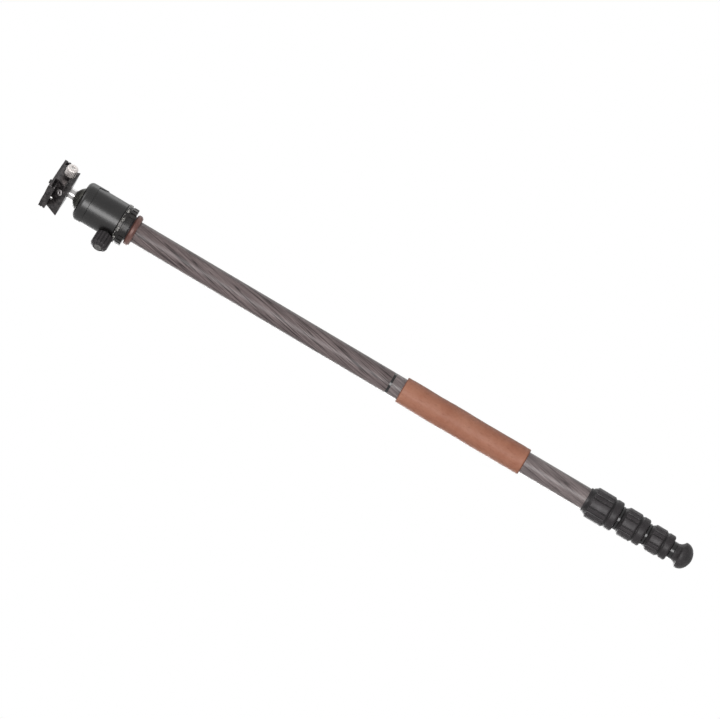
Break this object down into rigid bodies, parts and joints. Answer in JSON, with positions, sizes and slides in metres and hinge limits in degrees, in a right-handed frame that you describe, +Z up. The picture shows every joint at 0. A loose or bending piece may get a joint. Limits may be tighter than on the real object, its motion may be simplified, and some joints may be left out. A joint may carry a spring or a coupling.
{
  "type": "camera monopod with ball head",
  "caption": "Carbon camera monopod with a ball head, quick-release plate clamp, leather hand grip, four-section twist-lock leg and round rubber foot.",
  "frame": {"origin": "lowest point of the rubber foot, on the tubes' axis, with the leg collapsed", "axes": "+Z up along the leg and column to the camera plate; +X the way the ball housing's drop notch opens"},
  "size_m": [0.0799, 0.0836, 0.9059],
  "materials": {
    "carbon": "satin carbon tube with slanting grain",
    "leather": "smooth tan leather",
    "foam": "closed-cell foam",
    "copper_ring": "red-brown anodised, satin",
    "black_anodised": "black anodised, satin",
    "glossy_black": "polished black",
    "rubber": "matt moulded rubber",
    "plastic": "white acetal",
    "dark_ball": "hard anodised, fine turned",
    "bright_steel": "polished",
    "steel": "plain steel",
    "level_glass": "clear with a green tint"
  },
  "bodies": {
    "column": {"column_tube": "carbon", "joint_socket": "black_anodised", "top_ring": "copper_ring", "head_stud": "steel", "friction_pad": "rubber", "pan_base": "black_anodised", "scale_ring": "black_anodised", "retainer_disc": "black_anodised", "retainer_screws": "steel", "joint_stud": "glossy_black", "leg_tube_1": "carbon", "grip_foam": "foam", "leather_grip": "leather", "lock_collar_1": "glossy_black", "lock_collet_1": "plastic"},
    "lock_1": {"lock_nut_1": "black_anodised", "lock_rubber_1": "rubber"},
    "section_2": {"leg_tube_2": "carbon", "guide_bush_1": "plastic", "lock_collar_2": "glossy_black", "lock_collet_2": "plastic"},
    "lock_2": {"lock_nut_2": "black_anodised", "lock_rubber_2": "rubber"},
    "section_3": {"leg_tube_3": "carbon", "guide_bush_2": "plastic", "lock_collar_3": "glossy_black", "lock_collet_3": "plastic"},
    "lock_3": {"lock_nut_3": "black_anodised", "lock_rubber_3": "rubber"},
    "section_4": {"leg_tube_4": "carbon", "guide_bush_3": "plastic", "foot_insert": "glossy_black", "rubber_foot": "rubber"},
    "housing": {"ball_housing": "black_anodised", "upper_seat": "plastic"},
    "main_lock": {"main_knob": "rubber", "main_screw": "steel", "main_cap": "glossy_black"},
    "plunger": {"lock_plunger": "black_anodised"},
    "cup": {"lower_cup": "plastic"},
    "pan_lock": {"pan_knob": "rubber", "pan_screw": "steel", "pan_cap": "glossy_black"},
    "pan_brake": {"brake_shoe": "plastic"},
    "ball": {"ball": "dark_ball"},
    "stem": {"stem": "bright_steel"},
    "clamp": {"clamp_base": "black_anodised", "clamp_bolt": "steel", "guide_pins": "steel", "level_cup": "black_anodised", "level_vial": "level_glass"},
    "jaw": {"clamp_jaw": "black_anodised"},
    "jaw_knob": {"clamp_knob": "bright_steel", "clamp_screw": "steel"},
    "plate": {"camera_plate": "black_anodised", "plate_strips": "rubber", "plate_stops": "steel"},
    "camera_fixing": {"camera_screw": "steel"}
  },
  "joints": [
    {"name": "pan", "type": "hinge", "parent": "column", "child": "housing", "pos_m": [0, 0, 0.8138], "axis": [0, 0, 1], "continuous": true},
    {"name": "main_knob_turn", "type": "hinge", "parent": "housing", "child": "main_lock", "pos_m": [0.00305, 0.03487, 0.8286], "axis": [0.0872, 0.9962, 0], "range_deg": [0, 270.5]},
    {"name": "plunger_slide", "type": "slide", "parent": "housing", "child": "plunger", "axis": [0.0872, 0.9962, 0], "range_m": [0, 0.0006]},
    {"name": "cup_slide", "type": "slide", "parent": "housing", "child": "cup", "axis": [0, 0, -1], "range_m": [0, 0.000305]},
    {"name": "pan_knob_turn", "type": "hinge", "parent": "housing", "child": "pan_lock", "pos_m": [-0.03289, -0.01197, 0.8138], "axis": [-0.9397, -0.342, 0], "range_deg": [0, 270.5]},
    {"name": "shoe_slide", "type": "slide", "parent": "housing", "child": "pan_brake", "axis": [-0.9397, -0.342, 0], "range_m": [0, 0.00025]},
    {"name": "ball_side_tilt", "type": "hinge", "parent": "housing", "child": "ball", "pos_m": [0, 0, 0.8528], "axis": [1, 0, 0], "range_deg": [-25, 25]},
    {"name": "ball_front_tilt", "type": "hinge", "parent": "ball", "child": "stem", "pos_m": [0, 0, 0.8528], "axis": [0, 1, 0], "range_deg": [-20, 90]},
    {"name": "ball_spin", "type": "hinge", "parent": "stem", "child": "clamp", "pos_m": [0, 0, 0.8528], "axis": [0, 0, 1], "continuous": true},
    {"name": "jaw_slide", "type": "slide", "parent": "clamp", "child": "jaw", "axis": [0.6157, -0.788, 0], "range_m": [0, 0.004]},
    {"name": "clamp_knob_turn", "type": "hinge", "parent": "jaw", "child": "jaw_knob", "pos_m": [0.01847, -0.02364, 0.8879], "axis": [0.6157, -0.788, 0], "range_deg": [0, 1801]},
    {"name": "plate_slide", "type": "slide", "parent": "clamp", "child": "plate", "axis": [0.788, 0.6157, 0], "range_m": [-0.005, 0.005]},
    {"name": "camera_screw_turn", "type": "hinge", "parent": "plate", "child": "camera_fixing", "pos_m": [0, 0, 0.9027], "axis": [0, 0, 1], "continuous": true},
    {"name": "lock_1_turn", "type": "hinge", "parent": "column", "child": "lock_1", "pos_m": [0, 0, 0.124], "axis": [0, 0, -1], "range_deg": [0, 120]},
    {"name": "section_2_slide", "type": "slide", "parent": "column", "child": "section_2", "axis": [0, 0, -1], "range_m": [0, 0.2275]},
    {"name": "lock_2_turn", "type": "hinge", "parent": "section_2", "child": "lock_2", "pos_m": [0, 0, 0.083], "axis": [0, 0, -1], "range_deg": [0, 120]},
    {"name": "section_3_slide", "type": "slide", "parent": "section_2", "child": "section_3", "axis": [0, 0, -1], "range_m": [0, 0.264]},
    {"name": "lock_3_turn", "type": "hinge", "parent": "section_3", "child": "lock_3", "pos_m": [0, 0, 0.046], "axis": [0, 0, -1], "range_deg": [0, 120]},
    {"name": "section_4_slide", "type": "slide", "parent": "section_3", "child": "section_4", "axis": [0, 0, -1], "range_m": [0, 0.298]}
  ],
  "couplings": [
    {"joint": "main_knob_turn", "follows": "plunger_slide", "rad_per_m": 7854},
    {"joint": "cup_slide", "follows": "plunger_slide", "ratio": 0.5},
    {"joint": "pan_knob_turn", "follows": "shoe_slide", "rad_per_m": 18850},
    {"joint": "clamp_knob_turn", "follows": "jaw_slide", "rad_per_m": 7854}
  ]
}
